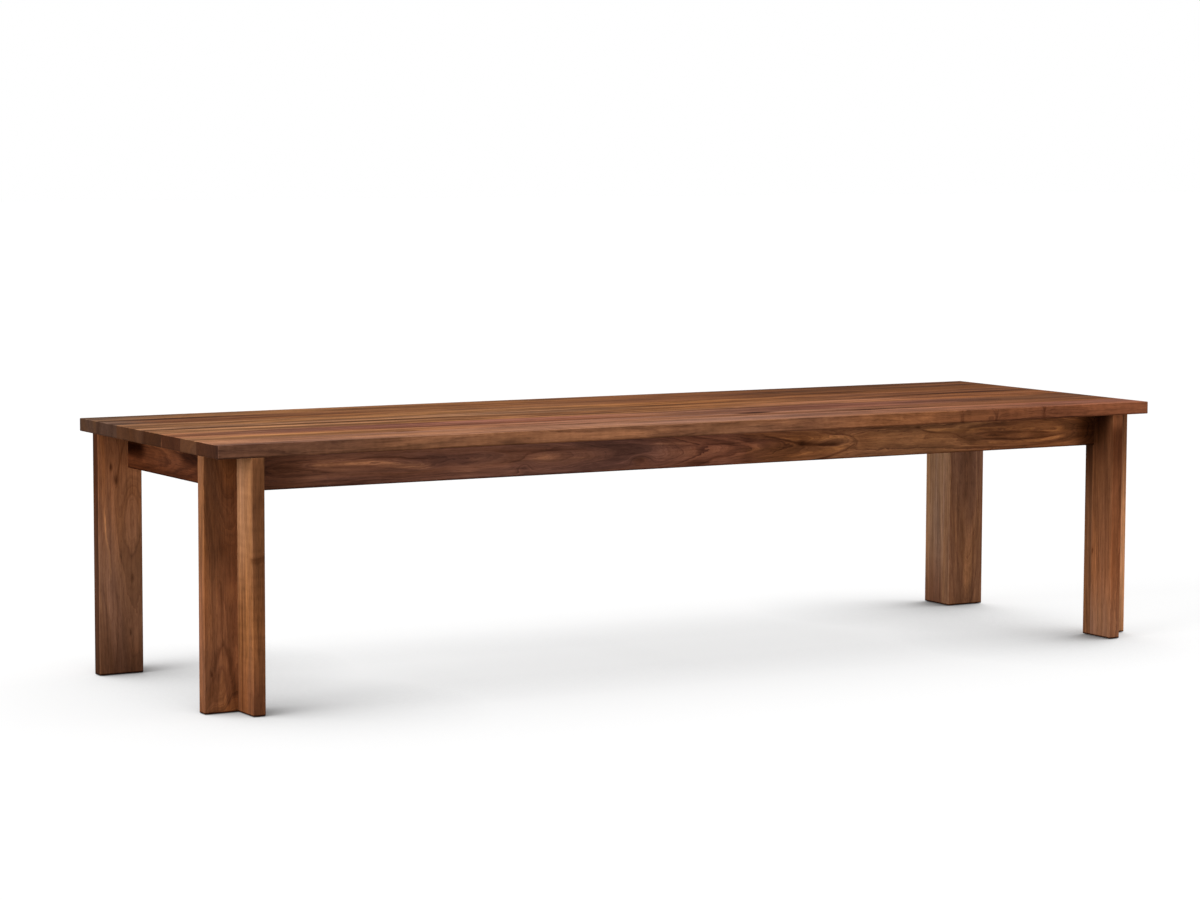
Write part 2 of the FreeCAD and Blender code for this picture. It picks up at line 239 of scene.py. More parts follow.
# A vein is a line of the figure through (along, across) points in metres. It is crisp on one side and fades
# out on the other over about twice its width; a width below 0 swaps the two sides.
Vein = namedtuple("Vein", "points width shade")
ARM_SHARES = (-0.3, 0.0, 0.35, 0.65, 1.0)


def arch(along, across, length, spread, width, shade):
    """Two veins that meet in a rounded tip, as growth rings do on a flat-sawn face."""
    arms = []
    for side in (-1, 1):
        points = tuple((along - length * s * abs(s), across + side * spread * s) for s in ARM_SHARES)
        arms.append(Vein(points, side * width, shade))
    return tuple(arms)


@dataclass
class Board:
    """How one board was sawn from the log.

    grain and across are its directions. tones and pith give, at places along the grain, the tone and how
    far the pith of the log lies under the middle of the board; pith_across is how far it lies to the side.
    pale is how light the board is beside the others, and edge how the tone of its long edges differs from
    its faces, both in linear light. end is the shade of its end grain: dark above 0, pale below. figure is
    how strongly the growth rings show, density how close they lie, and ripple how much the grain curls.
    """

    grain: Vector
    across: Vector
    tones: list
    pith: list
    pith_across: float = 0.0
    pale: float = 1.0
    edge: tuple = (1.0, 1.0, 1.0)
    end: float = 0.0
    figure: float = 0.6
    density: float = 1.5
    ripple: float = 0.0
    glued: bool = False
    marks: tuple = ()
    veins: tuple = ()


def linear(colour):
    """A colour of 0 to 255 in linear light."""
    shares = [value / 255 for value in colour]
    light = [s / 12.92 if s <= 0.04045 else ((s + 0.055) / 1.055) ** 2.4 for s in shares]
    return (*light, 1.0)


class Graph:
    """A node tree with one short call for each kind of node that the materials use."""

    def __init__(self, tree):
        self.tree = tree

    def put(self, socket, value):
        """Links a socket to another one, or sets its value."""
        if isinstance(value, bpy.types.NodeSocket):
            self.tree.links.new(value, socket)
        else:
            socket.default_value = value

    def fill(self, node, inputs):
        """Links or sets a node's inputs by their name or number."""
        for key, value in inputs.items():
            self.put(node.inputs[key], value)

    def node(self, kind, inputs=None, **settings):
        made = self.tree.nodes.new(kind)
        for name, value in settings.items():
            setattr(made, name, value)
        self.fill(made, inputs or {})
        return made

    def group(self, tree, inputs):
        """The outputs of a node group."""
        return self.node("ShaderNodeGroup", inputs, node_tree=tree).outputs

    def math(self, operation, *values):
        return self.node("ShaderNodeMath", dict(enumerate(values)), operation=operation).outputs[0]

    def times(self, first, second):
        return self.math("MULTIPLY", first, second)

    def times_plus(self, first, factor, second):
        return self.math("MULTIPLY_ADD", first, factor, second)

    def vector(self, operation, *values):
        made = self.node("ShaderNodeVectorMath", dict(enumerate(values)), operation=operation)
        return made.outputs["Value" if operation in ("DOT_PRODUCT", "LENGTH") else "Vector"]

    def scaled(self, vector, factor):
        made = self.node("ShaderNodeVectorMath", {"Vector": vector, "Scale": factor}, operation="SCALE")
        return made.outputs["Vector"]

    def parts(self, vector):
        return self.node("ShaderNodeSeparateXYZ", {"Vector": vector}).outputs

    def joined(self, x, y, z):
        return self.node("ShaderNodeCombineXYZ", {"X": x, "Y": y, "Z": z}).outputs["Vector"]

    def noise(self, vector, stretch, detail, roughness=0.5, output=0):
        """Noise between 0 and 1 with stretch as its frequency along each axis."""
        place = self.vector("MULTIPLY", vector, stretch)
        inputs = {"Vector": place, "Scale": 1.0, "Detail": detail, "Roughness": roughness}
        return self.node("ShaderNodeTexNoise", inputs).outputs[output]

    def vector_noise(self, *settings):
        """Three noises between 0 and 1, as a vector."""
        return self.noise(*settings, output=1)

    def line_noise(self, value, frequency, detail):
        """Noise between 0 and 1 along one number."""
        inputs = {"W": self.times(value, frequency), "Scale": 1.0, "Detail": detail}
        return self.node("ShaderNodeTexNoise", inputs, noise_dimensions="1D").outputs[0]

    def random(self, value):
        return self.node("ShaderNodeTexWhiteNoise", {"W": value}, noise_dimensions="1D").outputs["Value"]

    def ramp(self, value, low, high, start=0.0, end=1.0):
        """A smooth step from start to end while value goes from low to high."""
        inputs = {"Value": value, "From Min": low, "From Max": high, "To Min": start, "To Max": end}
        return self.node("ShaderNodeMapRange", inputs, interpolation_type="SMOOTHSTEP").outputs["Result"]

    def mix(self, factor, first, second):
        """A blend of two colours."""
        made = self.node("ShaderNodeMix", {0: factor, 6: first, 7: second}, data_type="RGBA")
        return made.outputs[2]

    def mix_shaders(self, factor, first, second):
        return self.node("ShaderNodeMixShader", {0: factor, 1: first, 2: second}).outputs[0]

    def bump(self, height, strength, depth):
        """A normal bent by a relief of some depth in metres."""
        inputs = {"Height": height, "Strength": strength, "Distance": depth}
        return self.node("ShaderNodeBump", inputs).outputs["Normal"]

    def powers(self, bases, exponent):
        """Three numbers, each raised to the same power, as a vector."""
        return self.joined(*(self.math("POWER", base, exponent) for base in bases))

    def sway(self, value, size):
        """A noise value turned into a swing of size about 0."""
        return self.times(self.math("SUBTRACT", value, 0.5), size)

    def faded(self, amount, least):
        """1 where amount is 0, falling to least where it is 1."""
        return self.times_plus(amount, least - 1.0, 1.0)


def new_group(name, inputs, outputs):
    """An empty node group with its sockets, as (group, graph, inner inputs, inner outputs)."""
    group = bpy.data.node_groups.new(name, "ShaderNodeTree")
    for direction, sockets in (("INPUT", inputs), ("OUTPUT", outputs)):
        for label, kind in sockets.items():
            group.interface.new_socket(name=label, in_out=direction, socket_type="NodeSocket" + kind)
    graph = Graph(group)
    inside = graph.node("NodeGroupInput").outputs
    outside = graph.node("NodeGroupOutput").inputs
    return group, graph, inside, outside


def new_material(name):
    """A material with an unlinked shader, as (material, graph, shader)."""
    material = bpy.data.materials.new(name)
    material.use_nodes = True
    graph = Graph(material.node_tree)
    shader = material.node_tree.nodes["Principled BSDF"]
    return material, graph, shader


def mark_group():
    """How near a place is to a mark: 1 at its centre, fading to 0 at about twice its reach."""
    inputs = {"Place": "Vector", "Centre": "Vector", "Reach": "Vector"}
    group, graph, inside, outside = new_group("mark", inputs, {"Near": "Float"})
    offset = graph.vector("SUBTRACT", inside["Place"], inside["Centre"])
    share = graph.vector("DIVIDE", offset, inside["Reach"])
    square = graph.vector("DOT_PRODUCT", share, share)
    graph.put(outside["Near"], graph.math("EXPONENT", graph.times(square, -1.0)))
    return group


def vein_group():
    """How near a place is to a vein: 1 on its line, fading out at its ends and to its sides."""
    inputs = {"Share": "Float", "Across": "Float", "Line": "Float", "Width": "Float"}
    group, graph, inside, outside = new_group("vein", inputs, {"Near": "Float"})
    offset = graph.math("SUBTRACT", inside["Across"], inside["Line"])
    offset = graph.math("DIVIDE", offset, inside["Width"])
    soft = graph.math("GREATER_THAN", offset, 0.0)
    steepness = graph.times_plus(soft, 0.8, -1.0)
    square = graph.times(offset, offset)
    near = graph.math("EXPONENT", graph.times(square, steepness))
    begin = graph.ramp(inside["Share"], 0.0, 0.2)
    end = graph.ramp(inside["Share"], 1.0, 0.8)
    graph.put(outside["Near"], graph.times(near, graph.times(begin, end)))
    return group


def edge_group():
    """How near a place on a box is to one of the box's edges: 1 on the edge, 0 a few millimetres away."""
    inputs = {"Place": "Vector", "Centre": "Vector", "Half Size": "Vector"}
    group, graph, inside, outside = new_group("worn_edge_and_highlight", inputs, {"Near": "Float"})
    offset = graph.vector("ABSOLUTE", graph.vector("SUBTRACT", inside["Place"], inside["Centre"]))
    gap = graph.parts(graph.vector("SUBTRACT", inside["Half Size"], offset))
    smaller = graph.math("MINIMUM", gap["X"], gap["Y"])
    larger = graph.math("MAXIMUM", gap["X"], gap["Y"])
    second = graph.math("MAXIMUM", smaller, graph.math("MINIMUM", larger, gap["Z"]))
    width = graph.times(graph.noise(inside["Place"], *WEAR), 2 * EDGE_WIDTH)
    graph.put(outside["Near"], graph.ramp(second, width, 0.0))
    return group


def ring_distance(graph, inside, place):
    """Distance from the pith, bent by slow and quick noise as a tree grows, in metres."""
    slow = graph.scaled(graph.vector_noise(place, *SLOW_BEND), SLOW_BEND_SIZE)
    quick = graph.scaled(graph.vector_noise(place, *QUICK_BEND), QUICK_BEND_SIZE)
    mean = (SLOW_BEND_SIZE + QUICK_BEND_SIZE) / 2
    bend = graph.parts(graph.vector("SUBTRACT", graph.vector("ADD", slow, quick), (mean, mean, mean)))
    here = graph.parts(inside["Place"])
    sideways = graph.math("ADD", graph.math("SUBTRACT", here["Y"], inside["Pith Across"]), bend["Y"])
    upwards = graph.math("ADD", graph.math("ADD", here["Z"], inside["Pith Depth"]), bend["Z"])
    distance = graph.vector("LENGTH", graph.joined(sideways, upwards, 0.0))
    return graph.times(graph.math("ADD", distance, inside["Lift"]), inside["Density"])


def ring_lines(graph, distance, spacing, sharpness, seed):
    """Growth lines that darken slowly outwards and then stop: each ring with its own depth of colour."""
    uneven = graph.times(graph.line_noise(distance, 0.35 / spacing, 2), 2.0)
    count = graph.math("ADD", graph.math("DIVIDE", distance, spacing), uneven)
    late = graph.math("POWER", graph.math("FRACT", count), sharpness)
    number = graph.math("ADD", graph.math("FLOOR", count), graph.times(seed, RING_STEP))
    depth = graph.times_plus(graph.random(number), 0.8, 0.2)
    return graph.times(late, depth)


def wood_figure(graph, inside, place, distance):
    """The noises and growth lines of the wood, by name."""
    flow = graph.joined(distance, graph.parts(place)["X"], graph.times(inside["Seed"], FLOW_STEP))
    figure = {name: graph.noise(place, *settings) for name, settings in BOARD_NOISE.items()}
    figure.update({name: graph.noise(flow, *settings) for name, settings in RING_NOISE.items()})
    figure["pores"] = graph.ramp(figure["pores"], 0.58, 0.68)
    figure["rings"] = ring_lines(graph, distance, RING_SPACING, 4.0, inside["Seed"])
    figure["bands"] = ring_lines(graph, distance, BAND_SPACING, 3.0, inside["Seed"])
    return figure


def late_wood(graph, inside, figure):
    """How much of a place is the dark wood that grows late in a year, from 0 to 1."""
    fade = graph.ramp(figure["fades"], 0.3, 0.65, 0.3, 1.2)
    dark = graph.times(graph.times(figure["bands"], fade), BAND_DEPTH)
    dark = graph.times_plus(figure["rings"], RING_DEPTH, dark)
    dark = graph.times_plus(graph.ramp(figure["streaks"], 0.58, 0.40), STREAK_DEPTH, dark)
    strength = graph.times(inside["Figure"], graph.faded(inside["End Grain"], END_FIGURE))
    return graph.math("MINIMUM", graph.times(dark, strength), 1.0)


def wood_colour(graph, inside, figure, dark):
    """The board's tone with its figure, shades, pores, end grain, and worn edges with a painted highlight.
    """
    warm = graph.vector("MULTIPLY", inside["Tone"], WARM)
    cool = graph.vector("MULTIPLY", inside["Tone"], COOL)
    tone = graph.mix(graph.ramp(figure["hues"], 0.3, 0.7), cool, warm)
    colour = graph.mix(dark, tone, graph.vector("MULTIPLY", tone, DARK_RING))

    swing = graph.times(graph.sway(figure["ripple"], RIPPLE_SWING), inside["Ripple"])
    for name, size in SWINGS.items():
        swing = graph.math("ADD", swing, graph.sway(figure[name], size))
    swing = graph.times(swing, graph.faded(inside["End Grain"], END_SWING))
    colour = graph.scaled(colour, graph.math("ADD", swing, 1.0))

    shade = graph.times(inside["Shade"], graph.times_plus(figure["lines"], 1.2, 0.4))
    colour = graph.vector("MULTIPLY", colour, graph.powers(STAIN, graph.math("MAXIMUM", shade, 0.0)))
    colour = graph.vector("MULTIPLY", colour, graph.powers(BLEACH, graph.math("MINIMUM", shade, 0.0)))

    pores = graph.times(figure["pores"], 0.6)
    # The last factor lightens worn edges, as wear and as a painted highlight.
    for share, factor in ((pores, PORE), (inside["End Grain"], END_GRAIN), (inside["Wear And Highlight"], WORN_EDGE_AND_HIGHLIGHT)):
        colour = graph.mix(share, colour, graph.vector("MULTIPLY", colour, factor))
    return colour


def wood_roughness(graph, inside, figure, dark):
    """Rougher in dark wood, in pores and on end grain, and smoother on worn edges."""
    roughness = graph.math("ADD", graph.sway(figure["strands"], 0.16), WOOD_ROUGHNESS)
    shares = ((dark, 0.08), (figure["pores"], 0.14), (inside["End Grain"], 0.14), (inside["Wear And Highlight"], -0.10))
    for share, change in shares:
        roughness = graph.times_plus(share, change, roughness)
    return roughness


def wood_height(graph, figure):
    """The relief of the planed wood: fibres and strands, with the pores and late rings sunk in."""
    height = graph.math("ADD", graph.sway(figure["fibres"], 0.7), graph.sway(figure["strands"], 0.5))
    height = graph.times_plus(figure["pores"], -0.8, height)
    return graph.times_plus(figure["rings"], -0.3, height)


def walnut_group():
    """Colour, roughness and height of walnut at a place in a board."""
    numbers = ("Seed", "Pith Across", "Pith Depth", "Lift", "Shade", "Figure", "Density", "Ripple")
    inputs = {"Place": "Vector", "Tone": "Color", "End Grain": "Float", "Wear And Highlight": "Float"}
    inputs.update(dict.fromkeys(numbers, "Float"))
    outputs = {"Color": "Color", "Roughness": "Float", "Height": "Float"}
    group, graph, inside, outside = new_group("walnut", inputs, outputs)
    place = graph.vector("ADD", inside["Place"], graph.scaled(BOARD_STEP, inside["Seed"]))
    distance = ring_distance(graph, inside, place)
    figure = wood_figure(graph, inside, place, distance)
    dark = late_wood(graph, inside, figure)
    graph.put(outside["Color"], wood_colour(graph, inside, figure, dark))
    graph.put(outside["Roughness"], wood_roughness(graph, inside, figure, dark))
    graph.put(outside["Height"], wood_height(graph, figure))
    return group


def curve_along(graph, along, points):
    """A smooth curve through (place along the grain, value), and the share of the way between its ends."""
    places, values = zip(*points)
    start = places[0]
    length = places[-1] - start
    base = min(values) - CURVE_MARGIN
    rise = max(values) - min(values) + 2 * CURVE_MARGIN
    share = graph.times_plus(along, 1 / length, -start / length)
    made = graph.node("ShaderNodeFloatCurve", {"Value": share})
    line = made.mapping.curves[0]
    while len(line.points) < len(points):
        line.points.new(0.5, 0.5)
    for point, (place, value) in zip(line.points, points):
        point.location = ((place - start) / length, (value - base) / rise)
    made.mapping.update()
    return graph.times_plus(made.outputs[0], rise, base), share


def tones_along(graph, share, tones, pale, length):
    """The board's tone, blending between those at places along the grain."""
    made = graph.node("ShaderNodeValToRGB", {"Fac": share})
    ramp = made.color_ramp
    ramp.interpolation = "EASE"
    while len(ramp.elements) < len(tones):
        ramp.elements.new(0.5)
    for element, (place, tone) in zip(ramp.elements, tones):
        element.position = place / length + 0.5
        element.color = [pale * light for light in linear(tone)[:3]] + [1.0]
    return made.outputs["Color"]


def marks_sum(graph, place, board):
    """The lift and the shade that all the board's marks and veins add up to."""
    wobble = graph.vector("SUBTRACT", graph.vector_noise(place, *WOBBLES), (0.5, 0.5, 0.5))
    place = graph.vector("ADD", place, graph.vector("MULTIPLY", wobble, MARK_WOBBLE))
    lift = 0.0
    shade = 0.0
    for mark in board.marks:
        inputs = {"Place": place, "Centre": mark.centre, "Reach": mark.reach}
        near = graph.group(MARK, inputs)["Near"]
        lift = graph.times_plus(near, mark.lift, lift)
        shade = graph.times_plus(near, mark.shade, shade)
    along, across, _ = graph.parts(place)
    for vein in board.veins:
        line, share = curve_along(graph, along, vein.points)
        inputs = {"Share": share, "Across": across, "Line": line, "Width": vein.width}
        near = graph.group(VEIN, inputs)["Near"]
        lift = graph.times_plus(near, VEIN_LIFT * vein.shade, lift)
        shade = graph.times_plus(near, vein.shade, shade)
    return lift, shade


def board_place(graph, board, here, low, high):
    """A place in the board from its middle: along the grain, across the board and through its depth."""
    offset = graph.vector("SUBTRACT", here, (low + high) / 2)
    axes = (board.grain, board.across, board.grain.cross(board.across))
    return graph.joined(*(graph.vector("DOT_PRODUCT", offset, axis) for axis in axes))


def board_tone(graph, board, place, normal, length):
    """The board's tone at a place, with another one on its long edges."""
    share = graph.times_plus(graph.parts(place)["X"], 1 / length, 0.5)
    share = graph.math("ADD", share, graph.sway(graph.noise(place, *BLURS), TONE_BLUR))
    tone = tones_along(graph, share, board.tones, board.pale, length)
    side = graph.math("ABSOLUTE", graph.vector("DOT_PRODUCT", normal, board.across))
    on_edge = graph.ramp(side, 0.5, 0.9)
    return graph.mix(on_edge, tone, graph.vector("MULTIPLY", tone, board.edge))


def lowest_edge_painted_shade(graph, board, here, facing, low):
    """Painted shade along a board's lowest edge, for the shadow there, less where it is end grain."""
    painted_low_shade = FOOT_PAINTED_SHADE if board.grain == Z else OTHER_EDGE_PAINTED_SHADE
    height = graph.math("SUBTRACT", graph.parts(here)["Z"], low.z)
    strength = graph.times_plus(facing, -0.8 * painted_low_shade, painted_low_shade)
    return graph.times(graph.ramp(height, LOW_EDGE_SHADE_HEIGHT, 0.0), strength)


def glue_shade(graph, board, place, normal, low, high):
    """The shade of the thin glue lines between planks, as seen from above."""
    half_width = abs((high - low).dot(board.across)) / 2
    gap = graph.math("SUBTRACT", half_width, graph.math("ABSOLUTE", graph.parts(place)["Y"]))
    return graph.times(graph.ramp(gap, GLUE_LINE, 0.0), graph.parts(normal)["Z"])


def board_material(name, board, low, high, edge_low, edge_high, seed):
    """Walnut for a board between two corners, with wear and a painted highlight along the edges of a box
    that may be larger.
    """
    material, graph, shader = new_material(name)
    here = graph.node("ShaderNodeTexCoord").outputs["Object"]
    normal = graph.node("ShaderNodeNewGeometry").outputs["Normal"]
    place = board_place(graph, board, here, low, high)
    length = abs((high - low).dot(board.grain))
    facing = graph.math("ABSOLUTE", graph.vector("DOT_PRODUCT", normal, board.grain))
    end_grain = graph.ramp(facing, 0.55, 0.9)

    lift, shade = marks_sum(graph, place, board)
    shade = graph.times(shade, graph.faded(end_grain, END_MARKS))
    shade = graph.times_plus(end_grain, board.end, shade)
    # Painted shade along the board's lowest edge.
    shade = graph.math("ADD", shade, lowest_edge_painted_shade(graph, board, here, facing, low))
    if board.glued:
        shade = graph.math("ADD", shade, glue_shade(graph, board, place, normal, low, high))

    edges = {"Place": here, "Centre": (edge_low + edge_high) / 2, "Half Size": (edge_high - edge_low) / 2}
    # Worn edges get both wear and a painted highlight, but not on end grain.
    wear_and_highlight = graph.times(graph.group(EDGE, edges)["Near"], graph.faded(end_grain, 0.0))
    pith_depth, _ = curve_along(graph, graph.parts(place)["X"], board.pith)
    inputs = {
        "Place": place,
        "Seed": seed,
        "Pith Across": board.pith_across,
        "Pith Depth": pith_depth,
        "Lift": lift,
        "Shade": shade,
        "Tone": board_tone(graph, board, place, normal, length),
        "Figure": board.figure,
        "Density": board.density,
        "Ripple": board.ripple,
        "End Grain": end_grain,
        "Wear And Highlight": wear_and_highlight,
    }
    wood = graph.group(WALNUT, inputs)
    graph.fill(shader, {
        "Base Color": wood["Color"],
        "Roughness": wood["Roughness"],
        "Normal": graph.bump(wood["Height"], 0.35, GRAIN_DEPTH),
        "Specular IOR Level": 0.0,
        "Coat Weight": OIL_WEIGHT,
        "Coat Roughness": OIL_ROUGHNESS,
    })
    return material


MARK = mark_group()
VEIN = vein_group()
EDGE = edge_group()
WALNUT = walnut_group()

# Marks and figure lines of the front apron, which has the boldest figure.
APRON_MARKS = (
    # The first three darken the ends: painted shade in the corners where the apron meets the legs.
    streak(-1.42, 0.0, 0.26, 0.3, 0.5),
    streak(1.43, -0.005, 0.08, 0.3, 0.9),
    streak(1.475, 0.0, 0.09, 0.3, 1.2),
    streak(-1.265, -0.022, 0.08, 0.016, -0.25),
    streak(-0.99, -0.026, 0.34, 0.04, 0.35),
    streak(-0.797, -0.027, 0.09, 0.03, -0.25),
    streak(-0.759, 0.007, 0.06, 0.012, -0.4),
    swell(-0.604, -0.021, 0.07, 0.03, 0.012, 0.15),
    streak(-0.53, 0.0, 0.1, 0.02, -0.55),
    streak(-0.426, -0.005, 0.07, 0.007, -0.35),
    swell(-0.2155, -0.021, 0.07, 0.03, 0.012, 0.15),
    streak(-0.06, -0.008, 0.16, 0.036, -0.3),
    streak(-0.028, -0.038, 0.08, 0.016, 0.5),
    streak(0.07, -0.006, 0.14, 0.03, -0.2),
    streak(0.155, 0.0, 0.05, 0.1, 0.3),
    streak(0.35, 0.001, 0.022, 0.014, 0.7),
    swell(0.47, 0.0, 0.16, 0.05, 0.012),
    knot(0.7755, 0.033, 0.007),
    swell(1.16, -0.007, 0.6, 0.06, 0.004, 0.1),
    streak(1.087, -0.004, 0.07, 0.014, 0.35),
    streak(1.246, -0.01, 0.08, 0.012, 0.35),
    streak(1.34, 0.004, 0.1, 0.04, -0.3),
)
APRON_VEINS = (
    Vein(((-1.39, 0.011), (-1.3, 0.0), (-1.2, -0.015)), 0.003, 0.35),
    Vein(((-1.34, 0.022), (-1.2, 0.021), (-1.05, 0.024), (-0.96, 0.018), (-0.85, 0.013)), -0.002, 0.6),
    Vein(((-1.33, 0.02), (-1.17, 0.015), (-1.05, 0.009), (-0.99, 0.001), (-0.86, -0.012)), -0.008, -0.95),
    Vein(((-1.2, 0.001), (-1.04, -0.004), (-0.96, -0.016), (-0.86, -0.023)), -0.003, 0.4),
    Vein(((-0.73, 0.028), (-0.6, 0.02), (-0.46, 0.022)), 0.003, 0.4),
    Vein(((-0.69, -0.012), (-0.62, -0.004), (-0.59, 0.012), (-0.5, 0.018), (-0.36, 0.014)), 0.002, 0.4),
    Vein(((-0.19, 0.027), (-0.075, 0.018), (0.03, 0.01)), 0.0025, -0.45),
    Vein(((-0.1, 0.012), (0.0, 0.014), (0.08, 0.011), (0.125, 0.005), (0.15, -0.006)), 0.002, 0.45),
    Vein(
        ((-0.06, -0.05), (0.0, -0.04), (0.047, -0.026), (0.098, -0.021), (0.134, -0.007), (0.15, 0.006)),
        -0.002, 0.6,
    ),
    Vein(((0.16, 0.042), (0.262, 0.026), (0.342, 0.016), (0.445, 0.015), (0.56, 0.008)), 0.006, -0.45),
    Vein(((0.19, 0.036), (0.262, 0.022), (0.328, 0.007), (0.36, -0.004)), -0.002, 0.55),
    Vein(((0.325, 0.004), (0.36, -0.001), (0.42, -0.006), (0.5, -0.01)), 0.0035, 1.0),
    Vein(((0.27, -0.044), (0.328, -0.03), (0.422, -0.023), (0.492, -0.014), (0.55, 0.002)), -0.005, -0.4),
    Vein(((0.36, -0.05), (0.42, -0.044), (0.492, -0.028), (0.535, -0.01), (0.56, 0.005)), -0.002, 0.55),
    Vein(((0.4, 0.031), (0.46, 0.026), (0.515, 0.018), (0.545, 0.006), (0.56, -0.006)), 0.002, 0.5),
    Vein(((0.56, 0.037), (0.68, 0.034), (0.78, 0.033)), 0.002, 0.4),
    Vein(((0.77, 0.033), (0.825, 0.017), (0.904, 0.01), (0.956, -0.009), (1.02, -0.015)), -0.0025, 0.65),
    Vein(((0.76, 0.034), (0.918, 0.019), (1.153, 0.017), (1.317, 0.008), (1.4, 0.0)), -0.005, -0.4),
    Vein(((0.98, 0.004), (1.08, 0.007), (1.2, 0.004), (1.32, -0.006)), -0.002, 0.5),
    Vein(((0.98, -0.012), (1.1, -0.017), (1.2, -0.02), (1.3, -0.014), (1.36, -0.002)), 0.002, 0.5),
    Vein(((0.92, -0.028), (1.06, -0.03), (1.2, -0.029), (1.317, -0.02), (1.39, -0.004)), 0.004, -0.45),
    Vein(((0.92, -0.035), (1.059, -0.038), (1.2, -0.041), (1.36, -0.028)), -0.002, 0.5),
)

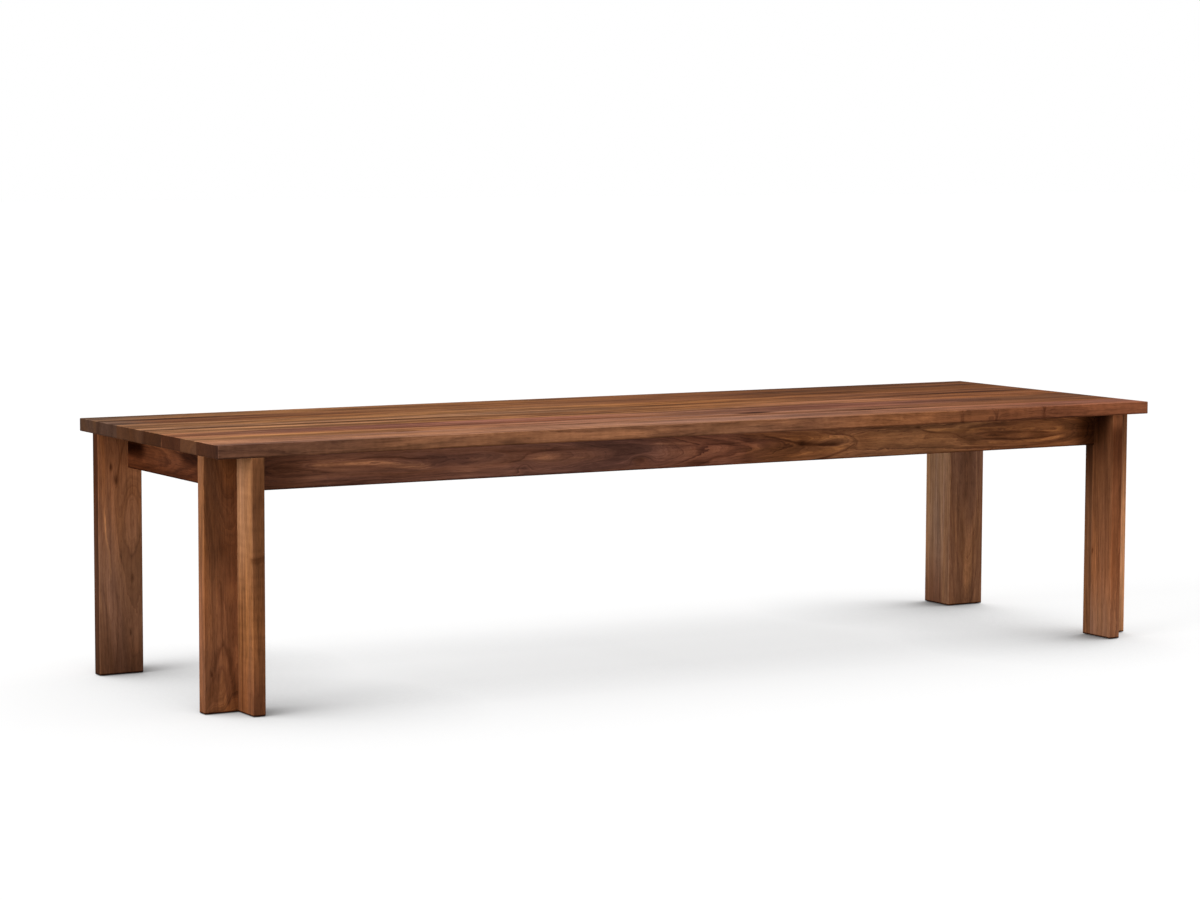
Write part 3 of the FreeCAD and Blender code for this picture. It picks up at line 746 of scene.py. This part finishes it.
# The boards that can be seen, by node. Their order gives each its own noise.
BOARDS = {
    "top_plank_1": Board(
        X, Y,
        tones=[(-1.6, SMOKE), (-1.3, TAN), (-0.3, GOLD), (0.5, CHESTNUT), (1.1, UMBER), (1.5, CHESTNUT)],
        pith=[(-1.6, 0.05), (1.6, 0.09)], pith_across=0.11, pale=0.60, end=-0.15, figure=0.9, density=0.6,
        glued=True,
        marks=(streak(0.75, 0.05, 0.5, 0.02, 0.5), streak(-1.0, 0.04, 1.0, 0.05, -0.3)),
    ),
    "top_plank_2": Board(
        X, Y, tones=[(-1.6, SMOKE), (-1.4, CHESTNUT), (-0.5, GOLD), (0.3, CHESTNUT), (1.0, UMBER)],
        pith=[(-1.6, 0.08), (1.6, 0.04)], pith_across=-0.12, pale=0.67, figure=0.9, density=0.6,
        glued=True,
        marks=(
            streak(-1.4, 0.06, 0.8, 0.026, 1.0), streak(-1.5, -0.042, 0.4, 0.024, 0.7),
            streak(0.93, -0.06, 0.1, 0.03, 0.5), streak(0.7, 0.07, 0.3, 0.02, 0.4),
        ),
    ),
    "top_plank_3": Board(
        X, Y, tones=[(-1.3, TAN), (-0.4, TAN), (0.3, GOLD), (1.0, CHESTNUT)],
        pith=[(-1.6, 0.06), (0.3, 0.1), (1.6, 0.05)], pith_across=0.15, pale=0.73, end=0.3, figure=0.9,
        density=0.6, glued=True,
        marks=(
            streak(-0.8, -0.058, 2.0, 0.024, -0.35), streak(-0.85, -0.1, 0.8, 0.036, 1.7),
            streak(-1.4, -0.1, 0.4, 0.02, 1.2), streak(1.25, -0.036, 0.45, 0.034, 1.4),
            streak(0.28, -0.01, 0.5, 0.03, 0.4),
        ),
    ),
    "top_plank_4": Board(
        X, Y, tones=[(-1.3, TAN), (0.2, GOLD), (0.7, ROSE), (1.2, CHESTNUT)],
        pith=[(-1.6, 0.09), (1.6, 0.05)], pith_across=-0.11, pale=0.83, end=0.8, figure=0.9, density=0.6,
        glued=True,
        marks=(
            streak(-0.85, 0.0625, 0.8, 0.03, 1.7), streak(-1.35, 0.062, 0.5, 0.012, 1.0),
            streak(-1.1, 0.022, 0.9, 0.034, -0.25), streak(1.5, 0.0, 0.3, 0.4, 0.15),
        ),
    ),
    "top_plank_5": Board(
        X, Y,
        tones=[(-1.5, ROSE), (-0.95, MAUVE), (-0.4, MAUVE), (0.05, ROSE), (0.6, MAUVE), (1.4, UMBER)],
        pith=[(-1.6, 0.04), (1.6, 0.09)], pith_across=0.12, pale=0.80, end=0.6, figure=0.8, density=0.6,
        glued=True,
        marks=(
            end_sliver(-1.6, 0.064, -0.008, 0.022), streak(-1.5, -0.015, 0.2, 0.024, 0.8),
            streak(1.19, -0.025, 0.14, 0.024, 0.8), streak(1.6, 0.0, 0.06, 0.4, 0.5),
            streak(0.6, 0.02, 0.5, 0.03, 0.2),
        ),
    ),
    "top_plank_6": Board(
        X, Y, tones=[(-1.3, TAN), (-0.6, ROSE), (0.4, ROSE), (0.9, CHESTNUT)],
        pith=[(-1.6, 0.08), (1.6, 0.05)], pith_across=-0.1, pale=0.86, end=0.2, figure=0.8, density=0.6,
        glued=True,
        marks=(
            knot(0.26, 0.022, 0.034, 2.0), knot(0.63, -0.036, 0.028, 1.6), knot(-0.95, -0.04, 0.02, 1.2),
            streak(1.3, 0.0, 1.0, 0.4, 0.25),
        ),
    ),
    "top_plank_7": Board(
        X, Y, tones=[(-1.4, BLUSH), (-0.6, BLUSH), (0.0, BLUSH), (0.6, ROSE), (1.4, MAUVE)],
        pith=[(-1.6, 0.07), (1.6, 0.06)], pith_across=0.13, pale=0.83, edge=(1.03, 0.96, 0.85), end=0.7,
        figure=0.75, density=0.7, ripple=0.5, glued=True,
        marks=(
            edge_crack(0.877, -0.0725, 0.02), edge_crack(1.003, -0.0725, 0.024),
            edge_crack(1.19, -0.0725, 0.02), streak(-0.2, 0.035, 0.1, 0.02, 0.6),
            streak(-0.37, 0.06, 0.06, 0.02, 0.5), streak(-1.4, -0.0725, 0.8, 0.03, 0.15),
            streak(0.7, -0.0725, 0.5, 0.03, -0.2), streak(1.05, -0.0725, 0.3, 0.03, -0.2),
        ),
    ),
    "apron_front": Board(
        X, Z,
        tones=[
            (-1.4, PLUM), (-0.9, PLUM), (-0.3, PLUM), (0.08, MAUVE), (0.3, CHESTNUT), (0.85, GOLD),
            (1.1, CHESTNUT),
        ],
        pith=[
            (-1.462, 0.03), (-0.9, 0.02), (-0.3, 0.045), (0.5, 0.09), (0.85, 0.088), (1.15, 0.08),
            (1.462, 0.10),
        ],
        pale=1.19, figure=0.7, density=2.2, marks=APRON_MARKS, veins=APRON_VEINS,
    ),
    "apron_back": Board(
        -X, Z, tones=[(-1.2, CHESTNUT), (1.2, UMBER)], pith=[(-1.462, 0.04), (1.462, 0.1)],
    ),
    "apron_left_end": Board(
        -Y, Z, tones=[(-0.3, RUSSET), (0.3, RUSSET)], pith=[(-0.36, 0.05), (0.36, 0.08)], pale=0.43,
        figure=0.7, density=1.0,
        marks=(
            # The two groups of three dark streaks near the top are painted shade: blocks of shadow on the
            # apron.
            *(streak(along, 0.017, 0.06, 0.055, 1.6) for along in (-0.35, -0.31, -0.27)),
            *(streak(along, 0.017, 0.06, 0.055, 0.9) for along in (0.06, 0.1, 0.14)),
            # The pale streak along the top is painted light against the shade under the table top; the next
            # paints shade low down.
            streak(-0.1, 0.045, 1.0, 0.04, -0.55), streak(-0.1, -0.035, 1.0, 0.05, 0.3),
            # The streak at 0.3 along is painted shade beside the front left leg.
            streak(-0.1, -0.045, 1.0, 0.03, 0.5), streak(0.3, 0.0, 0.2, 0.2, 0.6),
            streak(-0.1, 0.01, 0.16, 0.05, -0.2),
        ),
    ),
    "apron_right_end": Board(
        Y, Z, tones=[(-0.3, CHESTNUT), (0.3, UMBER)], pith=[(-0.36, 0.05), (0.36, 0.08)],
    ),
    "leg_front_left_side_board": Board(
        Z, -X, tones=[(-0.3, CHESTNUT), (-0.05, CHESTNUT), (0.12, UMBER)],
        pith=[(-0.355, 0.05), (-0.1, 0.09), (0.355, 0.06)], pith_across=-0.015, pale=0.9,
        edge=(0.95, 1.0, 1.1), figure=0.5, density=1.8,
        marks=(
            streak(0.1, 0.01, 0.05, 0.03, 0.3), streak(-0.02, -0.015, 0.08, 0.035, -0.25),
            swell(-0.36, 0.015, 0.36, 0.05, 0.016, -0.35), knot(-0.247, 0.047, 0.005),
            streak(-0.03, 0.05, 0.2, 0.03, -0.15), streak(0.34, 0.0, 0.3, 0.2, 0.2),
            streak(0.28, 0.075, 0.4, 0.02, -0.75), streak(-0.12, 0.075, 0.4, 0.02, 0.25),
            streak(-0.34, 0.075, 0.1, 0.02, 0.2),
        ),
        veins=(
            *arch(-0.165, 0.014, 0.17, 0.036, 0.005, 0.5), *arch(-0.225, 0.016, 0.12, 0.02, 0.004, 0.4),
            Vein(((-0.18, 0.055), (-0.05, 0.052), (0.08, 0.056)), 0.0015, -0.3),
            Vein(((-0.14, 0.034), (-0.05, 0.03), (0.06, 0.034)), 0.0015, -0.25),
            Vein(((-0.15, 0.022), (-0.08, 0.018), (0.03, 0.024)), -0.0015, 0.3),
        ),
    ),
    "leg_front_left_end_board": Board(
        Z, Y, tones=[(-0.3, CHESTNUT), (-0.1, GOLD), (0.2, TAN)], pith=[(-0.355, 0.05), (0.355, 0.07)],
        pith_across=0.14, pale=0.81, edge=(0.85, 0.78, 0.76), figure=0.5, density=1.0, ripple=0.6,
        marks=(
            edge_crack(0.078, -0.05, 0.016), streak(-0.34, 0.0, 0.1, 0.3, 0.2),
            streak(0.25, -0.06, 0.5, 0.03, 0.85), streak(0.36, 0.02, 0.1, 0.06, -0.2),
            streak(0.07, -0.06, 0.01, 0.04, 0.5), streak(-0.2, -0.06, 0.36, 0.03, -0.4),
            *(
                streak(along, -0.043, 0.011, 0.022, 0.1)
                for along in (0.03, 0.0, -0.03, -0.06, -0.09, -0.14, -0.17)
            ),
        ),
        veins=(
            Vein(((-0.4, 0.022), (-0.2, 0.019), (0.02, 0.022)), 0.004, 0.4),
            Vein(((-0.3, -0.006), (-0.05, -0.012), (0.2, -0.006)), -0.004, -0.25),
            Vein(((-0.1, 0.032), (0.12, 0.026), (0.34, 0.03)), 0.004, -0.2),
        ),
    ),
    "leg_back_left_side_board": Board(
        Z, -X, tones=[(-0.32, TAWNY), (-0.1, TAWNY), (0.3, CHESTNUT)],
        pith=[(-0.355, 0.09), (0.355, 0.06)], pith_across=-0.04, pale=1.22, edge=(0.2, 0.175, 0.165),
        figure=0.45, density=1.8,
        marks=(
            knot(0.258, 0.028, 0.007), knot(0.222, 0.011, 0.01), knot(-0.072, -0.036, 0.006),
            knot(-0.233, -0.03, 0.006, 0.6), streak(-0.36, 0.0, 0.24, 0.3, 0.65),
            swell(0.12, -0.036, 0.22, 0.05, 0.02), swell(0.3, 0.01, 0.12, 0.04, 0.012),
            # The first streak here is painted shade at the top of the leg, under the table top.
            streak(0.34, 0.02, 0.2, 0.2, 0.25), streak(0.3, 0.075, 0.4, 0.02, 0.3),
            streak(-0.34, 0.075, 0.3, 0.02, -0.5),
        ),
        veins=(
            Vein(((-0.1, 0.03), (0.0, 0.034), (0.06, 0.044), (0.16, 0.049)), 0.002, -0.5),
            Vein(((-0.34, 0.05), (-0.2, 0.044), (-0.06, 0.05)), 0.0015, 0.25),
            Vein(((-0.34, 0.02), (-0.2, 0.012), (-0.08, 0.02)), -0.0015, 0.25),
            Vein(((0.21, 0.01), (0.27, 0.0), (0.34, -0.02)), 0.002, 0.3),
        ),
    ),
    "leg_back_left_end_board": Board(
        Z, Y, tones=[(-0.3, CHESTNUT), (0.3, GOLD)], pith=[(-0.355, 0.06), (0.355, 0.09)],
    ),
    "leg_back_right_side_board": Board(
        Z, -X, tones=[(-0.3, TAWNY), (0.3, TAWNY)], pith=[(-0.355, 0.09), (0.355, 0.06)], pale=1.24,
        edge=(1.06, 1.2, 1.3), figure=0.45, density=1.8,
        marks=(
            swell(0.16, 0.0, 0.34, 0.05, 0.016, 0.45), streak(-0.24, -0.01, 0.2, 0.05, -0.2),
            streak(0.02, 0.005, 0.04, 0.02, 0.3), streak(0.26, 0.075, 0.5, 0.02, -0.75),
            streak(-0.33, 0.075, 0.3, 0.02, 0.4),
        ),
        veins=(
            Vein(((-0.3, 0.036), (-0.1, 0.042), (0.16, 0.038)), 0.0015, -0.25),
            Vein(((-0.1, -0.056), (0.05, -0.044), (0.2, -0.04)), 0.0015, -0.3),
            Vein(((-0.34, 0.02), (-0.2, 0.012), (-0.04, 0.02)), 0.002, 0.25),
            Vein(((-0.34, -0.02), (-0.2, -0.03), (-0.02, -0.024)), -0.002, 0.25),
        ),
    ),
    "leg_back_right_end_board": Board(
        Z, Y, tones=[(-0.34, TAWNY), (-0.1, SMOKE), (0.3, SMOKE)], pith=[(-0.355, 0.05), (0.355, 0.05)],
        pith_across=-0.15, pale=1.05, figure=0.4, density=1.0,
        marks=(streak(-0.36, 0.0, 0.3, 0.3, 0.45), streak(0.34, 0.0, 0.4, 0.4, -0.15)),
        veins=(
            Vein(((-0.34, 0.012), (0.0, 0.008), (0.2, 0.014)), 0.0015, 0.25),
            Vein(((-0.3, -0.02), (0.0, -0.016), (0.2, -0.022)), -0.0015, 0.2),
        ),
    ),
    "leg_front_right_side_board": Board(
        Z, -X, tones=[(-0.3, TAN), (0.3, TAN)], pith=[(-0.355, 0.05), (0.355, 0.08)], pith_across=0.1,
        pale=2.0, edge=(0.24, 0.205, 0.185), figure=0.5, density=1.0,
        # This streak is painted shade at the top of the leg, under the table top.
        marks=(streak(0.36, 0.0, 0.44, 0.4, 1.6),),
    ),
    "leg_front_right_end_board": Board(
        Z, Y, tones=[(-0.34, TAWNY), (-0.12, CHESTNUT), (0.2, UMBER)],
        pith=[(-0.355, 0.06), (0.355, 0.09)], pith_across=0.13, pale=0.95, edge=(1.2, 1.08, 1.02),
        figure=0.45, density=1.0,
        marks=(
            # The streak at 0.35 along is painted shade in the corner under the top, beside the apron.
            knot(-0.085, 0.045, 0.008), streak(0.35, 0.02, 0.24, 0.1, 1.7),
            streak(0.16, 0.0, 0.2, 0.4, 0.15), streak(-0.3, 0.0, 0.2, 0.2, -0.12),
            streak(0.335, -0.06, 0.05, 0.03, -1.0), streak(0.3, -0.06, 0.22, 0.04, 0.9),
        ),
        veins=(
            Vein(((-0.3, 0.02), (-0.1, 0.014), (0.1, 0.02)), 0.0015, 0.2),
            Vein(((-0.3, -0.014), (-0.1, -0.02), (0.2, -0.012)), -0.0015, 0.2),
        ),
    ),
}


def inner_boards():
    """The frame's hidden wood: cross rails, corner braces, buttons and loose tenons."""
    made = {}
    for number in (1, 2, 3):
        made[f"cross_rail_{number}"] = Board(
            Y, Z, tones=[(-0.3, CHESTNUT), (0.3, GOLD)], pith=[(-0.37, 0.04), (0.37, 0.09)],
        )
    for side, grain, across in (("front", Y, X), ("back", Y, X), ("left_end", X, Y), ("right_end", X, Y)):
        made[f"top_buttons_{side}"] = Board(
            grain, across, tones=[(-0.02, GOLD), (0.02, TAN)], pith=[(-0.02, 0.05), (0.02, 0.06)],
        )
    for corner, turn in (("front_left", -1), ("back_right", -1), ("front_right", 1), ("back_left", 1)):
        diagonal = (X + turn * Y).normalized()
        made[f"corner_brace_{corner}"] = Board(
            diagonal, Z, tones=[(-0.1, OLIVE), (0.1, CHESTNUT)], pith=[(-0.1, 0.05), (0.1, 0.08)],
        )
        made[f"leg_{corner}_loose_tenons"] = Board(
            Y, Z, tones=[(-0.02, BEECH), (0.02, BEECH)], pith=[(-0.02, 0.08), (0.02, 0.09)],
            figure=0.25, density=1.0,
        )
    return made


def dress(name, material):
    """Gives a CAD node one material all over."""
    slots = frame["nodes"][name].data.materials
    slots.clear()
    slots.append(material)


def dress_boards():
    """Gives every wooden node its own walnut or beech."""
    top_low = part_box("top_plank_7")[0]
    top_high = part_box("top_plank_1")[1]
    boards = {**BOARDS, **inner_boards()}
    for seed, (name, board) in enumerate(boards.items(), start=1):
        low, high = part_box(name)
        edge_low, edge_high = (top_low, top_high) if board.glued else (low, high)
        dress(name, board_material("wood_" + name, board, low, high, edge_low, edge_high, seed))


def zinc_material():
    """Zinc plated steel: dull, with yellowish and whitish patches of oxide and fine scratches."""
    material, graph, shader = new_material("zinc_steel")
    here = graph.node("ShaderNodeTexCoord").outputs["Object"]
    oxide = graph.noise(here, (220, 220, 220), 4, 0.6)
    grain = graph.noise(here, (2600, 2600, 2600), 2)
    scratches = graph.ramp(graph.noise(here, (900, 9000, 900), 2), 0.60, 0.68)
    colour = graph.mix(graph.ramp(oxide, 0.35, 0.65), linear(ZINC_YELLOW), linear(ZINC_WHITE))
    colour = graph.mix(graph.times(scratches, 0.5), colour, linear(BARE_SCRATCH))
    roughness = graph.ramp(oxide, 0.3, 0.7, 0.42, 0.28)
    roughness = graph.math("ADD", roughness, graph.sway(grain, 0.16))
    roughness = graph.times_plus(scratches, -0.1, roughness)
    height = graph.times_plus(scratches, -0.5, graph.sway(grain, 1.0))
    normal = graph.bump(height, 0.3, 0.00005)
    graph.fill(shader, {"Base Color": colour, "Roughness": roughness, "Normal": normal, "Metallic": 1.0})
    return material


def dress_screws():
    """Gives all the screws their plating."""
    material = zinc_material()
    for use in ("top_button", "cross_rail", "corner_brace"):
        dress(f"{use}_screws", material)


def felt_material():
    """Pressed brown felt: matted fibres, paler lint on its rim, dust worked into its underside."""
    material, graph, shader = new_material("felt")
    here = graph.node("ShaderNodeTexCoord").outputs["Object"]
    turn = graph.vector_noise(here, (400, 400, 400), 2)
    curled = graph.vector("ADD", here, graph.scaled(turn, 0.004))
    fibres = graph.noise(curled, (1100, 5200, 2600), 4, 0.65)
    mats = graph.noise(here, (140, 140, 140), 3)
    lint = graph.ramp(fibres, 0.58, 0.70)
    colour = graph.mix(graph.ramp(mats, 0.3, 0.7), linear(FELT_DARK), linear(FELT_PALE))
    colour = graph.mix(graph.times(lint, 0.6), colour, linear(FELT_LINT))
    dust = graph.ramp(graph.parts(here)["Z"], 0.0006, 0.0, 0.0, 0.5)
    graph.fill(shader, {
        "Base Color": graph.mix(dust, colour, linear(FELT_DUST)),
        "Roughness": graph.times_plus(mats, 0.1, 0.88),
        "Normal": graph.bump(fibres, 0.8, 0.0003),
        "Specular IOR Level": 0.1,
        "Sheen Weight": 0.3,
        "Sheen Roughness": 0.6,
    })
    return material


def pad_middles(node):
    """The middles of a leg's three pads: under the inner corner of the L and under the end of each arm."""
    low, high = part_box(node)
    inner_x, outer_x = sorted((low.x + PAD_SOLID_RADIUS, high.x - PAD_SOLID_RADIUS), key=abs)
    inner_y, outer_y = sorted((low.y + PAD_SOLID_RADIUS, high.y - PAD_SOLID_RADIUS), key=abs)
    spots = ((inner_x, inner_y), (outer_x, inner_y), (inner_x, outer_y))
    return [Vector((x, y, 0)) for x, y in spots]


def felt_pad(mesh, middle):
    """Adds a round felt pad to mesh: pressed flat by the table, with a bulging, slightly ragged rim."""
    rings = []
    for reach, height in PAD_PROFILE:
        ring = []
        for step in range(PAD_STEPS):
            angle = 2 * math.pi * step / PAD_STEPS
            outward = Vector((math.cos(angle), math.sin(angle), 0))
            spot = middle + outward * reach * PAD_RADIUS + Z * height * PAD_HEIGHT
            ragged = noise.noise(spot * PAD_RAGS) * PAD_RAGGED * reach ** 6
            ring.append(mesh.verts.new(spot + outward * ragged))
        rings.append(ring)
    for lower, upper in zip(rings, rings[1:]):
        for step in range(PAD_STEPS):
            after = (step + 1) % PAD_STEPS
            mesh.faces.new((lower[step], lower[after], upper[after], upper[step]))
    mesh.faces.new(reversed(rings[0]))
    mesh.faces.new(rings[-1])


def felt_pads():
    """The three felt pads under each leg, in place of their plain solids."""
    material = felt_material()
    for corner in LEG_CORNERS:
        mesh = bmesh.new()
        for middle in pad_middles(f"leg_{corner}_felt_pads"):
            felt_pad(mesh, middle)
        data = bpy.data.meshes.new(f"felt_{corner}")
        mesh.to_mesh(data)
        mesh.free()
        data.shade_smooth()
        data.materials.append(material)
        piece = bpy.data.objects.new(f"felt_{corner}", data)
        bpy.context.scene.collection.objects.link(piece)
        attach(piece, "root")
        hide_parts(f"leg_{corner}_felt_pads")


def camera():
    """A camera where the photograph was taken from."""
    data = bpy.data.cameras.new("camera")
    data.lens = CAMERA_LENS
    data.sensor_width = PICTURE_WIDTH
    made = bpy.data.objects.new("camera", data)
    heading = Matrix.Rotation(math.radians(-CAMERA_YAW), 4, "Z")
    tilt = Matrix.Rotation(math.radians(90 - CAMERA_PITCH), 4, "X")
    bank = Matrix.Rotation(math.radians(-CAMERA_ROLL), 4, "Z")
    made.matrix_world = Matrix.Translation(CAMERA_PLACE) @ heading @ tilt @ bank
    bpy.context.scene.collection.objects.link(made)
    bpy.context.scene.camera = made


def seen_directly(graph):
    """1 for rays from the camera, a mirror or a glass, and 0 for rays that only light things."""
    path = graph.node("ShaderNodeLightPath").outputs
    direct = graph.math("MAXIMUM", path["Is Camera Ray"], path["Is Glossy Ray"])
    return graph.math("MAXIMUM", direct, path["Is Transmission Ray"])


def floor_glow(graph):
    """White light from the floor, less where the table shades it."""
    here = graph.node("ShaderNodeTexCoord").outputs["Object"]
    outward = graph.vector("ADD", graph.vector("MULTIPLY", here, SHADOW_LEAN), Z)
    inputs = {"Distance": SHADOW_REACH, "Normal": graph.vector("NORMALIZE", outward)}
    open_share = graph.node("ShaderNodeAmbientOcclusion", inputs).outputs["AO"]
    strength = graph.math("POWER", open_share, SHADOW_DEPTH)
    return graph.node("ShaderNodeEmission", {"Strength": strength}).outputs[0]


def floor_material():
    """White where nothing shades it, and see-through from below.

    It also lets light through to what nearly touches it, so that the feet can be looked at from below.
    """
    material, graph, shader = new_material("floor")
    direct = seen_directly(graph)
    colour = graph.mix(direct, FLOOR_GREY, WHITE)
    graph.fill(shader, {"Base Color": colour, "Roughness": 1.0, "Specular IOR Level": 0.0})
    white_share = graph.times(direct, WHITE_SHARE)
    lit = graph.mix_shaders(white_share, shader.outputs[0], floor_glow(graph))
    travelled = graph.node("ShaderNodeLightPath").outputs["Ray Length"]
    touching = graph.math("LESS_THAN", travelled, FOOT_GAP)
    below = graph.node("ShaderNodeNewGeometry").outputs["Backfacing"]
    open_way = graph.math("MAXIMUM", below, touching)
    clear = graph.node("ShaderNodeBsdfTransparent").outputs[0]
    end = material.node_tree.nodes["Material Output"]
    graph.put(end.inputs["Surface"], graph.mix_shaders(open_way, lit, clear))
    return material


def floor():
    """A large pale floor that runs out of the picture on all sides."""
    size = FLOOR_SIZE
    mesh = bpy.data.meshes.new("floor")
    corners = [(-size, -size, 0), (size, -size, 0), (size, size, 0), (-size, size, 0)]
    mesh.from_pydata(corners, [], [(0, 1, 2, 3)])
    mesh.materials.append(floor_material())
    made = bpy.data.objects.new("floor", mesh)
    bpy.context.scene.collection.objects.link(made)


def world():
    """White where it is seen, and a soft even light elsewhere."""
    made = bpy.data.worlds.new("studio")
    bpy.context.scene.world = made
    made.use_nodes = True
    graph = Graph(made.node_tree)
    strength = graph.times_plus(seen_directly(graph), 1.0 - ROOM_LIGHT, ROOM_LIGHT)
    graph.fill(made.node_tree.nodes["Background"], {"Color": WHITE, "Strength": strength})


def lamp(name, towards, spread, strength):
    """A far, soft studio light; at a strength of 1 it makes a white card that faces it look white."""
    data = bpy.data.lights.new(name, "SUN")
    data.angle = math.radians(spread)
    data.energy = strength * math.pi
    made = bpy.data.objects.new(name, data)
    made.rotation_euler = Vector(towards).to_track_quat("Z", "Y").to_euler()
    bpy.context.scene.collection.objects.link(made)


dress_boards()
dress_screws()
felt_pads()
floor()
world()
for name, towards, spread, strength in LAMPS:
    lamp(name, towards, spread, strength)
camera()
bpy.context.scene.view_settings.view_transform = "Standard"
